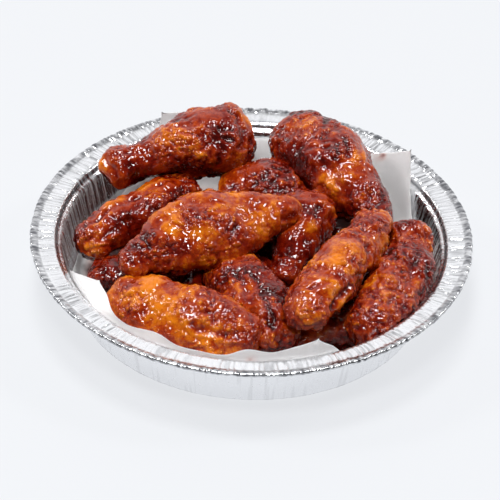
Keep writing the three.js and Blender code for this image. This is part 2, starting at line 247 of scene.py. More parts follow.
def paper_material(colour, soaked_and_painted_shade):
    """Deli paper, machine glazed: matt white with cloudy fibres, a little see-through, and dark and wet
    where glaze soaks in. The same dark colour also serves as painted shade where the sheet lies deep under
    the heap."""
    material, tree = new_material("deli_paper_machine_glazed")
    place = node(tree, "ShaderNodeTexCoord").outputs["Object"]
    # real fibres are finer, and wouldn't show
    fibres = node(tree, "ShaderNodeTexNoise", {"Vector": place, "Scale": spaced(FIBRE), "Detail": 2.0})
    clouds = node(tree, "ShaderNodeTexNoise", {"Vector": place, "Scale": spaced(PULP_CLOUD), "Detail": 3.0})
    # glaze stains, and painted shade where the sheet lies deep in the pan
    stain_and_painted_shade = node(tree, "ShaderNodeAttribute", attribute_name="stain_and_painted_shade").outputs["Fac"]
    sheet = linear(colour)
    dull = tuple(0.98 * c for c in sheet[:3]) + (1.0,)
    white = node(tree, "ShaderNodeValToRGB", {"Fac": clouds}, stops=[(0.3, dull), (0.7, sheet)])
    soaking = [(0.0, linear("E2A48C")), (0.5, linear("B4492A")), (1.0, linear(soaked_and_painted_shade))]
    marked = node(tree, "ShaderNodeValToRGB", {"Fac": stain_and_painted_shade}, stops=soaking)
    tint = node(tree, "ShaderNodeMix", {"Factor": stain_and_painted_shade, "A": white, "B": marked}, data_type="RGBA")
    tint = tint.outputs["Result"]
    rough = node(tree, "ShaderNodeMapRange", {"Value": stain_and_painted_shade, **limits((0.0, 1.0), (0.6, 0.22))})
    relief = node(tree, "ShaderNodeBump", {"Height": fibres, "Strength": 0.08, "Distance": 0.2 * MM})
    face = {"Base Color": tint, "Roughness": rough, "Specular IOR Level": 0.4, "Normal": relief}
    sheen = node(tree, "ShaderNodeBsdfPrincipled", face)
    through = node(tree, "ShaderNodeBsdfTranslucent", {"Color": tint})
    see_through = 0.4
    both = node(tree, "ShaderNodeMixShader", {0: see_through, 1: sheen, 2: through})
    node(tree, "ShaderNodeOutputMaterial", {"Surface": both})
    return material


def pimples(tree, place, apart, more):
    """The height of round pimples strewn over a surface, some larger than others. Each sits in a
    cell of its own, and cells lie a number of millimetres apart. Those whose chance, with what
    more adds to it, is under a half stay bare."""
    cell = node(tree, "ShaderNodeTexVoronoi", {"Vector": place, "Scale": spaced(apart)})
    away = node(tree, "ShaderNodeMath", {0: cell, 1: 2.0}, operation="POWER")
    chance = node(tree, "ShaderNodeSeparateColor", {"Color": cell.outputs["Color"]})
    raised = node(tree, "ShaderNodeMath", {0: chance, 1: more}, operation="ADD")
    reach = node(tree, "ShaderNodeMapRange", {"Value": raised, **limits((0.5, 1.2), (0.0, 0.2))})
    lift = node(tree, "ShaderNodeMath", {0: reach, 1: away}, operation="SUBTRACT")
    return node(tree, "ShaderNodeMath", {0: lift, 1: 0.0}, operation="MAXIMUM")


def glaze_material(crust, thin, pooled):
    """Fried chicken tossed in a sticky sugar glaze: rough crust under a wet clear coat. Bare crust is
    orange, a thin coat is red-brown, and pooled glaze in the pits is nearly black. The tone that picks these
    colours also carries painted shade, darker in hollows, underneath and on wings low in the heap."""
    material, tree = new_material("sticky_glaze_on_fried_crust")
    place = node(tree, "ShaderNodeTexCoord").outputs["Object"]
    # tone: the coat's colour, with painted shade in hollows, underneath and on wings low in the heap
    tone = node(tree, "ShaderNodeAttribute", attribute_name="tone").outputs["Fac"]
    rough = node(tree, "ShaderNodeAttribute", attribute_name="rough").outputs["Fac"]
    # blotches and specks shift the coat's thickness, and pimples stand out of it
    blotch = node(tree, "ShaderNodeTexNoise", {"Vector": place, "Scale": spaced(BLOTCH), "Detail": 4.0})
    speck = node(tree, "ShaderNodeTexNoise", {"Vector": place, "Scale": spaced(SPECK), "Detail": 2.0})
    blotches = node(tree, "ShaderNodeMapRange", {"Value": blotch, **limits(MIDDLE, (-0.1, 0.1))})
    specks = node(tree, "ShaderNodeMapRange", {"Value": speck, **limits(MIDDLE, (-0.08, 0.08))})
    more = node(tree, "ShaderNodeMath", {0: rough, 1: 0.4}, operation="MULTIPLY")
    large = pimples(tree, place, LARGE_PIMPLE, more)
    small = pimples(tree, place, SMALL_PIMPLE, more)
    either = node(tree, "ShaderNodeMath", {0: large, 1: small}, operation="ADD")
    tips = node(tree, "ShaderNodeMapRange", {"Value": either, **limits((0.02, 0.2), (0.0, 0.25))})
    coat = tone
    for change in (blotches, specks, tips):
        coat = node(tree, "ShaderNodeMath", {0: coat, 1: change}, operation="ADD")
    shades = [
        (0.0, linear("280201")),
        (0.2, linear(pooled)),
        (0.4, linear(thin)),
        (0.66, linear("943006")),
        (1.0, linear(crust)),
    ]
    tint = node(tree, "ShaderNodeValToRGB", {"Fac": coat}, stops=shades)
    # crumbs lie side by side where the batter is craggy, and pimples everywhere
    cells = {"Vector": place, "Scale": spaced(CRUMB)}
    crumb = node(tree, "ShaderNodeTexVoronoi", cells, feature="SMOOTH_F1")
    dome = node(tree, "ShaderNodeMapRange", {"Value": crumb, **limits((0.0, 0.7), (1.0, 0.0))})
    crumbs = node(tree, "ShaderNodeMath", {0: dome, 1: rough}, operation="MULTIPLY")
    relief = node(tree, "ShaderNodeBump", {"Height": crumbs, "Strength": 1.0, "Distance": 0.1 * MM})
    for height, most in ((large, 2.5 * MM), (small, 2.0 * MM)):
        raised = {"Height": height, "Strength": 1.0, "Distance": most, "Normal": relief}
        relief = node(tree, "ShaderNodeBump", raised)
    wet = {
        "Base Color": tint,
        "Roughness": 0.6,
        "IOR": 1.47,
        "Specular IOR Level": 0.0,
        "Coat Weight": 1.0,
        "Coat Roughness": 0.04,
        "Coat IOR": 1.47,
        "Normal": relief,
        "Coat Normal": relief,
    }
    shader = node(tree, "ShaderNodeBsdfPrincipled", wet)
    node(tree, "ShaderNodeOutputMaterial", {"Surface": shader})
    return material


# ---------------------------------------------------------------- mesh helpers


def show(name, mesh, material, cad_node):
    """Adds a finished mesh to the scene in place of a CAD node."""
    piece = bpy.data.objects.new(name, mesh)
    bpy.context.scene.collection.objects.link(piece)
    mesh.materials.clear()
    mesh.materials.append(material)
    for face in mesh.polygons:
        face.use_smooth = True
    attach(piece, "root")
    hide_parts(cad_node)
    return piece


def merged_copy(cad_node):
    """A copy of a CAD node's mesh with its loose triangles joined up."""
    mesh = bpy.data.meshes.new(cad_node + "_copy")
    work = bmesh.new()
    work.from_mesh(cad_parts[cad_node].data)
    bmesh.ops.remove_doubles(work, verts=work.verts, dist=SAME_PLACE)
    work.to_mesh(mesh)
    work.free()
    return mesh


def with_modifiers(mesh, *changes):
    """The mesh after some modifiers, each a kind and its settings."""
    carrier = bpy.data.objects.new("carrier", mesh)
    bpy.context.scene.collection.objects.link(carrier)
    for kind, settings in changes:
        modifier = carrier.modifiers.new(kind.lower(), kind)
        for name, value in settings.items():
            setattr(modifier, name, value)
    graph = bpy.context.evaluated_depsgraph_get()
    result = bpy.data.meshes.new_from_object(carrier.evaluated_get(graph))
    bpy.data.objects.remove(carrier)
    return result


def read(mesh, what):
    """The vertices' places ("co", in millimetres) or normals ("normal")."""
    flat = np.empty(len(mesh.vertices) * 3, np.float32)
    mesh.vertices.foreach_get(what, flat)
    return flat.reshape(-1, 3).astype(float) / (MM if what == "co" else 1)


def move(mesh, points):
    """Puts the vertices at places given in millimetres."""
    mesh.vertices.foreach_set("co", (points * MM).astype(np.float32).ravel())
    mesh.update()


def paint(mesh, name, values):
    """Stores one number, or one vector, for each vertex."""
    values = np.asarray(values, np.float32)
    if values.ndim == 1:
        mesh.attributes.new(name, "FLOAT", "POINT").data.foreach_set("value", values)
    else:
        mesh.attributes.new(name, "FLOAT_VECTOR", "POINT").data.foreach_set("vector", values.ravel())


def smoothed(mesh, points, times):
    """The points after each has moved half way to its neighbours' middle, a number of times."""
    ends = np.empty(len(mesh.edges) * 2, np.int32)
    mesh.edges.foreach_get("vertices", ends)
    a, b = ends[0::2], ends[1::2]
    size = len(points)
    count = np.maximum(np.bincount(a, minlength=size) + np.bincount(b, minlength=size), 1)[:, None]
    for _ in range(times):
        sums = [np.bincount(a, points[b, i], size) + np.bincount(b, points[a, i], size) for i in range(3)]
        points = 0.5 * points + 0.5 * np.stack(sums, axis=1) / count
    return points


# ---------------------------------------------------------------- seeded noise


def step_between(low, high, value):
    t = np.clip((value - low) / (high - low), 0, 1)
    return t * t * (3 - 2 * t)


def lattice(cells, seed):
    """A random value from 0 to 1 for each whole-numbered place, by an integer hash."""
    i, j, k = cells[:, 0], cells[:, 1], cells[:, 2]
    n = (i * 374761393 + j * 668265263 + k * 1274126177 + seed * 97531) & 0xFFFFFFFF
    n = ((n ^ (n >> 13)) * 1103515245) & 0xFFFFFFFF
    return (n ^ (n >> 16)) / 4294967295


def waves(points, size, seed):
    """Smooth noise from -1 to 1, with swells of about a given size."""
    at = points / size
    cells = np.floor(at).astype(np.int64)
    t = at - cells
    t = t * t * t * (t * (t * 6 - 15) + 10)
    total = np.zeros(len(points))
    for corner in np.ndindex(2, 2, 2):
        weight = np.prod(np.where(corner, t, 1 - t), axis=1)
        total += weight * lattice(cells + np.array(corner), seed)
    return 2 * total - 1


def crease(value, width):
    """1 on the line where a noise value crosses nought, falling to 0 beside it."""
    return np.clip(1 - np.abs(value) / width, 0, 1)


def nodules(points, size, seed):
    """Rounded lumps packed side by side: 1 on the top of each, 0 in the clefts between."""
    at = points / size
    cells = np.floor(at).astype(np.int64)
    nearest = np.full(len(points), 9.0)
    for offset in np.ndindex(3, 3, 3):
        near = cells + np.array(offset) - 1
        centre = near + np.stack([lattice(near, seed + axis) for axis in range(3)], axis=1)
        reach = 0.5 + 0.35 * lattice(near, seed + 3)
        nearest = np.minimum(nearest, np.linalg.norm(centre - at, axis=1) / reach)
    return np.sqrt(np.clip(1 - nearest**2, 0, 1))


# ---------------------------------------------------------------- foil pan

# half way through the foil, from the base to the curl under the lip, as (radius, height) in mm
BASE = [(60.0, 0.35), (87.6, 0.35)]
FOOT = [(90.2, 0.75), (91.4, 1.8), (91.9, 3.4)]
WALL = [(93.4, 10.0), (95.0, 17.0), (96.5, 23.5), (97.8, 29.4)]
STEP = [(98.4, 31.4), (98.9, 32.2), (99.8, 32.7), (100.5, 33.2)]
SHOULDER = [(101.1, 34.1), (101.8, 35.2), (102.6, 35.8), (104.2, 36.0)]
FLANGE = [(106.4, 36.1), (108.6, 36.2), (110.2, 36.35)]
LIP = [(111.2, 36.6), (112.2, 36.9), (113.0, 37.15), (113.7, 37.25)]
CURL = [(114.3, 37.1), (114.6, 36.8), (114.75, 36.4), (114.65, 35.95), (114.35, 35.6)]
PAN_LINE = BASE + FOOT + WALL + STEP + SHOULDER + FLANGE + LIP + CURL
FOIL = 0.36

# radii and heights between which one stretch of the profile turns into the next, and where painted shade
# lies round the shoulder's foot and how far it reaches, in mm
TOP_START = 99.0
STEP_STARTS = (99.0, 99.8)
FLANGE_STARTS = (101.6, 103.2)
LIP_STARTS = (110.5, 111.4)
SHOULDER_SHADE = 101.2
SHADE_REACH = 0.9
WALL_FOOT = 1.5
WALL_HEIGHT = 32.0

# the circle on which places round the pan are measured, so that a crease keeps to one
# direction as it runs outwards
RING = 107.0

# streaks pressed into the foil: their width in mm, and how many times as long they are
BUNCHES = (9.0, math.inf)
LONG_CREASES = (2.4, 12.0)
SHORT_CREASES = (1.6, 3.0)
CRIMPS = (1.3, 3.0)
FINE_CRIMPS = (1.1, 1.5)
WALL_WAVES = (1.6, 16.0)
WALL_FOLDS = (6.0, 5.0)

# how deep they go, in mm; the wall's waves grow from its foot to its top
STEP_DENT = 0.25
CRIMP_LIFT = 0.1
FINE_CRIMP_LIFT = 0.12
CRIMP_PUSH = 0.35
WAVE_AT_FOOT = 0.12
WAVE_AT_TOP = 0.28
FOLD_PUSH = 0.25


def spun_profile(scale, steps):
    """The pan's profile spun once round, as a mesh."""
    work = bmesh.new()
    line = [work.verts.new((0, 0, PAN_LINE[0][1] * MM))]
    line += [work.verts.new((r * MM * scale, 0, z * MM)) for r, z in PAN_LINE]
    edges = [work.edges.new(pair) for pair in zip(line, line[1:])]
    bmesh.ops.spin(
        work,
        geom=line + edges,
        cent=(0, 0, 0),
        axis=(0, 0, 1),
        angle=2 * math.pi,
        steps=steps,
        use_merge=True,
    )
    bmesh.ops.remove_doubles(work, verts=work.verts, dist=SAME_PLACE)
    bmesh.ops.recalc_face_normals(work, faces=work.faces)
    mesh = bpy.data.meshes.new("foil_pan_skin")
    work.to_mesh(mesh)
    work.free()
    return mesh


def streaks(ring, along, kind, seed):
    """Noise from -1 to 1 in streaks that run along the profile."""
    width, stretch = kind
    return waves(np.column_stack([ring, along / stretch]), width, seed)


def pressed_top(ring, r, pleat):
    """The step, the flange and the lip: how far the press lifts the foil and pushes it outwards, in mm, and
    how much painted shade darkens the foil, from 0 to 1 or more."""
    flange, lip = step_between(*FLANGE_STARTS, r), step_between(*LIP_STARTS, r)
    bunch = 0.35 + 0.65 * step_between(-0.3, 0.3, streaks(ring, r, BUNCHES, seed=3))
    long = crease(streaks(ring, r, LONG_CREASES, seed=11), width=0.3)
    short = crease(streaks(ring, r, SHORT_CREASES, seed=17), width=0.3)
    crimp, fine = streaks(ring, r, CRIMPS, seed=23), streaks(ring, r, FINE_CRIMPS, seed=29)
    creases = bunch * (long + 0.5 * short) * flange
    lift = (CRIMP_LIFT * crimp + FINE_CRIMP_LIFT * fine) * lip
    lift -= pleat * creases * (1 - 0.5 * lip)
    lift -= STEP_DENT * long * step_between(*STEP_STARTS, r) * (1 - flange)
    push = CRIMP_PUSH * (crimp - 0.6) * lip
    # painted shade: darker in the creases, round the shoulder's foot and on the crimped lip
    dark = 0.35 * creases * (1 - lip) + crease(r - SHOULDER_SHADE, SHADE_REACH)
    dark += lip * (0.6 + 0.4 * crimp + 0.3 * fine)
    return lift, push, dark


def pressed_wall(ring, z):
    """The wall: how far its waves and folds push the foil outwards, in mm, and how much painted shade
    darkens the foil along its waves, from 0 to 1."""
    height = np.clip(z / WALL_HEIGHT, 0, 1)
    wave = streaks(ring, z, WALL_WAVES, seed=31)
    fold = crease(streaks(ring, z, WALL_FOLDS, seed=37), width=0.1)
    depth = WAVE_AT_FOOT + (WAVE_AT_TOP - WAVE_AT_FOOT) * height
    push = np.where(z > WALL_FOOT, depth * wave - FOLD_PUSH * fold * height, 0)
    return push, 0.15 * step_between(0.1, 0.7, wave)


class WINGS_OT_foil_pan(bpy.types.Operator):
    """Spins the pan's profile and presses its pleats, creases and crimped lip"""

    bl_idname = "wings.foil_pan"
    bl_label = "Foil pan"

    def execute(self, context):
        settings = context.scene.pan_settings
        mesh = spun_profile(settings.lip_radius / LIP_RADIUS, settings.steps)
        points = read(mesh, "co")
        r, z = np.hypot(points[:, 0], points[:, 1]), points[:, 2]
        away = points[:, :2] / np.maximum(r, 0.01)[:, None]
        ring = RING * away
        on_top = r > TOP_START
        lift, push_top, dark = pressed_top(ring, r, settings.pleat / MM)
        push_wall, painted_wall_shade = pressed_wall(ring, z)
        push = np.where(on_top, push_top, push_wall)
        move(mesh, np.column_stack([away * (r + push)[:, None], z + np.where(on_top, lift, 0)]))
        paint(mesh, "flow", np.column_stack([ring, r + z]))
        # painted shade on the step, flange, lip and wall, which darkens the foil's colour
        paint(mesh, "painted_shade", np.clip(np.where(on_top, dark, painted_wall_shade), 0, 1))
        mesh = with_modifiers(mesh, ("SOLIDIFY", {"thickness": FOIL * MM, "offset": 0.0}))
        show("foil_pan_pressed", mesh, foil_material(settings.foil), "foil_pan")
        return {"FINISHED"}


# ---------------------------------------------------------------- paper

# the sheet's four sharp corners, in mm, and how far round them the sheet stays sharp
CORNERS = [(83.1, 54.0, 56.6), (-51.2, 84.5, 53.0), (-76.3, -47.7, 40.0), (35.3, -91.9, 43.4)]
CORNER_REACH = 1.6

# where glaze has touched the sheet: place and reach in mm, and how strong the mark is; the two at the front
# are partly glaze and partly painted shade in the sheet's pocket there
STAINS = [
    ((69, 69, 41), 2.4, 0.75),
    ((66, 72, 38), 3.2, 0.35),
    ((-93, -38, 31), 2.6, 0.2),
    ((2, -97, 33), 2.2, 0.5),
    ((-20, -96, 34), 3.0, 0.2),
]
PAPER_THINNING = 0.2

# the inner face of the pan's wall, as heights and the radii there, and how far the sheet is
# moved to lie on it at the most, all in mm
WALL_FACE = [3.4, 31.4, 40.0], [91.0, 97.6, 99.5]
FURTHEST_PUSH = 3.5

# where it is moved, and where glaze soaks it under the heap, which also paints the shade deep in the pan:
# each sets in from the first to the second of two places along y, two heights or two radii, in mm
FRONT_HALF = (20, -10)
OFF_THE_BASE = (12, 22)
UNDER_THE_EDGE = (38, 33)
NEAR_THE_WALL = (80, 88)
SOAKED_AND_PAINTED_SHADE_BELOW = (14, 6)
SOAKED_AND_PAINTED_SHADE_WITHIN = (90, 80)

# a turn that no bend in the sheet is sharper than, in radians
ANY_BEND = 3.1


def softened_sheet():
    """The solid's sheet with its bends made smooth and its corners kept sharp."""
    mesh = merged_copy("paper_liner")
    work = bmesh.new()
    work.from_mesh(mesh)
    bends = {"angle_face_threshold": ANY_BEND, "angle_shape_threshold": ANY_BEND}
    bmesh.ops.join_triangles(work, faces=work.faces, **bends)
    sharp = work.verts.layers.float.new("crease_vert")
    for vertex in work.verts:
        if any((vertex.co / MM - Vector(corner)).length < CORNER_REACH for corner in CORNERS):
            vertex[sharp] = 1.0
    work.to_mesh(mesh)
    work.free()
    return with_modifiers(mesh, ("SUBSURF", {"levels": 2, "render_levels": 2}))


def on_the_wall(points):
    """The points, with those of the sheet's front half moved out to lie flat on the wall."""
    r, y, z = np.hypot(points[:, 0], points[:, 1]), points[:, 1], points[:, 2]
    share = step_between(*FRONT_HALF, y) * step_between(*OFF_THE_BASE, z) * step_between(*UNDER_THE_EDGE, z)
    gap = np.clip(np.interp(z, *WALL_FACE) - r, 0, FURTHEST_PUSH)
    push = gap * share * step_between(*NEAR_THE_WALL, r)
    moved = points.copy()
    moved[:, :2] *= (1 + push / np.maximum(r, 1))[:, None]
    return moved


def stain_and_painted_shade_share(points):
    """How far glaze soaks into the sheet, from 0 to 1: under the heap, where it runs down to, with a ragged
    edge, and in a few stains. The darkening under the heap is partly glaze and partly painted shade deep in
    the pan."""
    r = np.hypot(points[:, 0], points[:, 1])
    ragged = 3 * waves(points, 14, seed=61) + 1.5 * waves(points, 5, seed=62)
    soaked_and_painted_shade = step_between(*SOAKED_AND_PAINTED_SHADE_BELOW, points[:, 2] + ragged) * step_between(*SOAKED_AND_PAINTED_SHADE_WITHIN, r)
    patchy = 0.7 + 0.5 * waves(points, 1.4, seed=64)
    for place, reach, strength in STAINS:
        gone = np.linalg.norm(points - np.array(place), axis=1) / reach
        soaked_and_painted_shade = np.maximum(soaked_and_painted_shade, strength * np.exp(-(gone**2)) * patchy)
    return np.clip(soaked_and_painted_shade, 0, 1)


class WINGS_OT_paper(bpy.types.Operator):
    """Softens the liner's sheet and gives it its crinkles, its stains, and its middle, darkened by glaze
    soaking in and by painted shade
    """

    bl_idname = "wings.paper"
    bl_label = "Paper liner"

    def execute(self, context):
        settings = context.scene.paper_settings
        mesh = softened_sheet()
        points = on_the_wall(read(mesh, "co") - PAPER_THINNING * read(mesh, "normal"))
        broad = np.column_stack([waves(points, 15, seed=41 + axis) for axis in range(3)])
        narrow = np.column_stack([waves(points, 6, seed=51 + axis) for axis in range(3)])
        move(mesh, points + (broad + 0.4 * narrow) * settings.crinkle / MM)
        # glaze stains, and painted shade deep in the pan
        paint(mesh, "stain_and_painted_shade", stain_and_painted_shade_share(points))
        material = paper_material(settings.colour, settings.soaked_and_painted_shade)
        show("paper_liner_sheet", mesh, material, "paper_liner")
        return {"FINISHED"}


# ---------------------------------------------------------------- wings

# folds in the skin: (a line near the surface in mm, its half width, its depth); a negative
# depth raises a ridge
FOLDS = {
    "drumette_top_left": [
        ([(-13, 67, 67), (-7, 57, 61), (-7, 51, 56)], 1.6, 2.4),
        ([(-15, 50, 60), (-18, 47, 57), (-20, 43, 50)], 1.6, 2.0),
        ([(-78, 42, 50), (-74, 36, 48), (-70, 31, 42)], 1.5, 1.6),
        ([(-56, 46, 56), (-66, 44, 54)], 1.5, 0.9),
        ([(-24, 66, 68), (-34, 62, 68), (-44, 60, 64)], 1.6, 0.8),
    ],
    "flat_left": [
        ([(-86, 1, 37), (-70, 12, 42), (-54, 24, 44), (-42, 33, 43)], 1.4, 1.9),
        ([(-78, -4, 34), (-70, 2, 35)], 1.3, 1.0),
        ([(-50, 16, 38), (-42, 22, 39)], 1.4, 1.2),
    ],
    "flat_top_middle": [
        ([(-31, -14, 60), (-26, -17, 58), (-21, -15, 57)], 1.0, 1.0),
        ([(-40, -10, 60), (-35, -18, 57), (-33, -28, 50)], 1.7, 1.3),
        ([(-52, -30, 49), (-55, -22, 50)], 1.5, 1.6),
        ([(-60, -38, 44), (-63, -31, 45)], 1.3, 1.3),
        ([(-5, 17, 56), (6, 18, 55), (15, 15, 54)], 1.3, 1.5),
        ([(15, 5, 52), (18, -2, 49)], 1.3, 1.3),
    ],
    "flat_front": [
        ([(-28, -78, 38), (-16, -82, 35), (-2, -80, 32)], 1.4, 1.7),
        ([(-46, -58, 44), (-36, -62, 44), (-28, -60, 45)], 1.2, 0.7),
        ([(-60, -62, 38), (-62, -58, 39)], 1.3, 1.0),
        ([(-16, -64, 44), (-6, -66, 42)], 1.0, 0.7),
    ],
    "drumette_top_back": [
        ([(33, 42, 57), (41, 34, 54), (48, 27, 50)], 1.5, 1.4),
        ([(42, 64, 63), (46, 54, 62), (50, 42, 58)], 1.6, 1.8),
        ([(30, 48, 58), (38, 46, 59)], 1.4, 1.3),
        ([(16, 68, 56), (20, 62, 58)], 1.4, 1.0),
    ],
    "flat_top_right": [
        ([(50, -52, 46), (44, -62, 45), (40, -68, 43)], 1.5, 2.4),
        ([(60, -28, 53), (57, -36, 49)], 1.4, 1.6),
        ([(30, -62, 50), (40, -58, 51)], 1.3, 1.3),
        ([(52, -20, 55), (62, -18, 55)], 1.4, 1.0),
    ],
    "flat_right": [
        ([(79, -15, 46), (75, -32, 45), (71, -45, 43), (67, -60, 40)], 2.6, -1.5),
        ([(84, -22, 43), (80, -42, 39)], 1.6, 1.6),
        ([(64, -50, 41), (60, -58, 38)], 1.4, 1.0),
    ],
    "drumette_middle": [([(34, 12, 46), (31, 4, 43)], 1.5, 1.4), ([(16, -12, 34), (24, -14, 33)], 1.2, 1.2)],
    "flat_behind_middle": [([(0, 33, 46), (8, 37, 48)], 1.3, 1.2)],
    "flat_front_middle": [
        ([(2, -42, 39), (8, -56, 38), (12, -70, 31)], 1.7, 1.8),
        ([(-8, -36, 40), (-2, -52, 38)], 1.4, 1.3),
        ([(4, -66, 35), (-2, -70, 34)], 1.4, 1.4),
    ],
}

# lobes, knobs and pits: (a place in mm, its reach, its height, how far it shifts the tone); the darker
# shifts are partly the glaze's own colour and partly painted shade in hollows and low on a wing
FORMS = {
    "drumette_top_left": [
        ((-79, 42, 46), 4.5, 2.2, 0.14),
        ((-72, 33, 42), 4.5, 2.0, 0.12),
        ((-63, 38, 47), 7, 0.3, -0.32),
        ((-54, 41, 51), 4, -1.8, -0.5),
        ((-39, 44, 59), 8, 0.7, 0.28),
        ((-47, 54, 62), 6, 0.3, 0.16),
        ((-27, 42, 56), 7, 0.7, 0.2),
        ((-35, 58, 66), 7, -0.3, -0.2),
        ((-24, 62, 67), 6, 0.4, 0.1),
        ((-12, 47, 54), 6, 1.2, -0.08),
        ((-4, 67, 60), 6, 1.2, 0.22),
        ((-13, 75, 66), 4.5, 1.6, 0.02),
        ((-12, 60, 64), 4, -0.4, -0.3),
    ],
    "drumette_top_back": [
        ((22, 70, 59), 7, 0.5, 0.26),
        ((26, 61, 60), 5, 0.5, 0.2),
        ((13, 75, 55), 4, 1.0, -0.05),
        ((17, 73, 57), 1.8, -1.0, -0.3),
        ((31, 41, 57), 4, 1.6, -0.12),
        ((24, 46, 55), 3.5, 1.4, -0.15),
        ((24, 51, 56), 2.6, -1.2, -0.4),
        ((19, 48, 49), 9, 0.0, -0.28),
        ((39, 32, 51), 7, 0.8, 0.28),
        ((57, 46, 56), 7, 0.9, 0.2),
        ((51, 31, 55), 6, 0.4, 0.2),
        ((44, 53, 62), 7, -0.6, -0.2),
        ((49, 40, 58), 3, -1.5, -0.4),
        ((28, 40, 46), 7, 0.0, -0.3),
        ((50, 21, 47), 7, 0.0, 0.15),
    ],
    "flat_top_middle": [
        ((-42, -22, 55), 9, 1.1, 0.14),
        ((-49, -14, 55), 6, 0.3, 0.0),
        ((-17, 1, 60), 6, -0.5, -0.34),
        ((-24, -25, 51), 8, 1.0, 0.36),
        ((-9, 5, 58), 7, 0.3, 0.26),
        ((-11, -9, 57), 7, 0.4, 0.16),
        ((21, 10, 51), 6, 1.0, 0.2),
        ((12, 12, 55), 5, -0.3, -0.1),
        ((-48, -25, 51), 3, 0.9, -0.12),
        ((-57, -29, 47), 8, 0.0, -0.28),
        ((-62, -37, 43), 4, 0.8, -0.1),
        ((-33, -36, 42), 11, 0.0, -0.06),
    ],
    "flat_left": [
        ((-76, 13, 40), 9, 0.4, 0.26),
        ((-56, 27, 44), 9, 0.4, 0.28),
        ((-41, 37, 42), 7, 0.3, 0.22),
        ((-66, 3, 36), 9, 0.3, -0.28),
        ((-40, 26, 41), 4, 1.0, -0.05),
        ((-84, -7, 31), 6, 0.5, 0.28),
        ((-54, 12, 35), 6, -0.3, -0.2),
    ],
    "flat_front": [
        ((-51, -66, 38), 3.2, -2.6, -0.55),
        ((-56, -70, 34), 4, 1.0, -0.3),
        ((-58, -57, 41), 6, 0.4, 0.18),
        ((-38, -68, 42), 8, 0.3, 0.15),
        ((-19, -72, 42), 4.5, -0.7, -0.36),
        ((-9, -74, 39), 6, 0.9, 0.08),
        ((-26, -80, 36), 2.4, -1.6, -0.4),
        ((-18, -62, 45), 7, 0.3, -0.1),
        ((2, -74, 36), 5, 0.5, -0.15),
        ((-2, -84, 30), 7, 0.0, -0.2),
        ((-40, -82, 31), 9, 0.0, -0.08),
    ],
    "flat_front_middle": [
        ((15, -54, 37), 8, 0.0, -0.12),
        ((-8, -44, 39), 4, 0.6, 0.3),
        ((5, -60, 38), 4, 0.9, 0.05),
        ((11, -77, 27), 4, 1.2, 0.2),
        ((6, -70, 33), 3.5, 1.2, 0.1),
        ((2, -36, 39), 5, 0.4, -0.1),
    ],
    "flat_top_right": [
        ((42, -45, 54), 7, 0.9, 0.36),
        ((50, -37, 56), 6, 0.5, 0.24),
        ((55, -25, 56), 4, -0.6, -0.34),
        ((37, -62, 51), 3.5, 1.0, -0.26),
        ((33, -70, 49), 4, 1.0, -0.1),
        ((59, -34, 47), 3, 1.8, -0.05),
        ((60, -36, 47), 1.2, -2.4, -0.5),
        ((29, -76, 43), 4, 0.8, 0.16),
        ((28, -77, 43), 1.4, -1.8, -0.5),
        ((46, -62, 41), 3.5, 1.4, 0.2),
        ((66, -8, 54), 6, 0.4, -0.1),
        ((45, -52, 50), 3, 0.8, -0.25),
    ],
    "flat_right": [
        ((62, -43, 43), 7, 0.0, 0.08),
        ((79, -14, 46), 5, 0.6, -0.1),
        ((72, -12, 46), 4, 0.8, 0.14),
        ((88, -34, 38), 8, 0.0, -0.1),
        ((66, -64, 38), 5, 0.6, -0.1),
    ],
    "drumette_middle": [
        ((31, 2, 42), 5, 0.7, 0.4),
        ((39, 15, 45), 5, 1.2, 0.06),
        ((27, 8, 45), 5, 0.3, -0.1),
        ((22, -12, 34), 4, 0.7, -0.05),
    ],
    "flat_behind_middle": [
        ((14, 34, 46), 4, 0.6, 0.2),
        ((2, 43, 49), 5, 0.4, 0.1),
        ((-4, 36, 47), 5, 0.4, 0.1),
    ],
    "drumette_low_right": [((44, -56, 22), 4, 1.0, 0.1)],
}

# sizes of the batter's forms, in mm: swells, wrinkles, lumps and knobs
SWELL = 9
WRINKLE = 6
LUMP = 3.4
KNOB = 2.6

# rounds of smoothing that a skin with facets of 0.7 mm takes: to take off the solid's facets, to
# round off the batter under its glaze, and to find the broad form that its bumps stand out from
SMOOTHED_GRAIN = 0.7
FACET_ROUNDS = 14
GLAZE_ROUNDS = 0.8
BROAD_ROUNDS = 30

# how thick the batter is, how far under the serving's top it starts to be held down, and how
# much of what is over that is let through at the most, all in mm
BATTER = 0.5
HEADROOM = 1.6
MOST_OVER = 1.5


def distance_to_line(points, line):
    """How far each point is from a line of straight stretches."""
    nearest = np.full(len(points), np.inf)
    for start, end in zip(line, line[1:]):
        stretch = end - start
        part = np.clip((points - start) @ stretch / max(stretch @ stretch, 1e-9), 0, 1)
        gone = np.linalg.norm(points - start - part[:, None] * stretch, axis=1)
        nearest = np.minimum(nearest, gone)
    return nearest


def folds_height(name, points):
    """Height of a wing's own folds, in mm: a furrow with a raised roll of skin beside it."""
    height = np.zeros(len(points))
    wander = 1.3 * np.column_stack([waves(points, 5, seed=71 + axis) for axis in range(3)])
    uneven = 0.7 + 0.5 * waves(points, 6, seed=75)
    for line, width, depth in FOLDS.get(name, ()):
        onto_skin = [points[np.argmin(np.linalg.norm(points - np.array(p), axis=1))] for p in line]
        gone = distance_to_line(points + wander, onto_skin) / (1.15 * width)
        height += 0.6 * depth * uneven * (0.6 * np.exp(-((gone - 2) ** 2)) - np.exp(-(gone**2)))
    return height


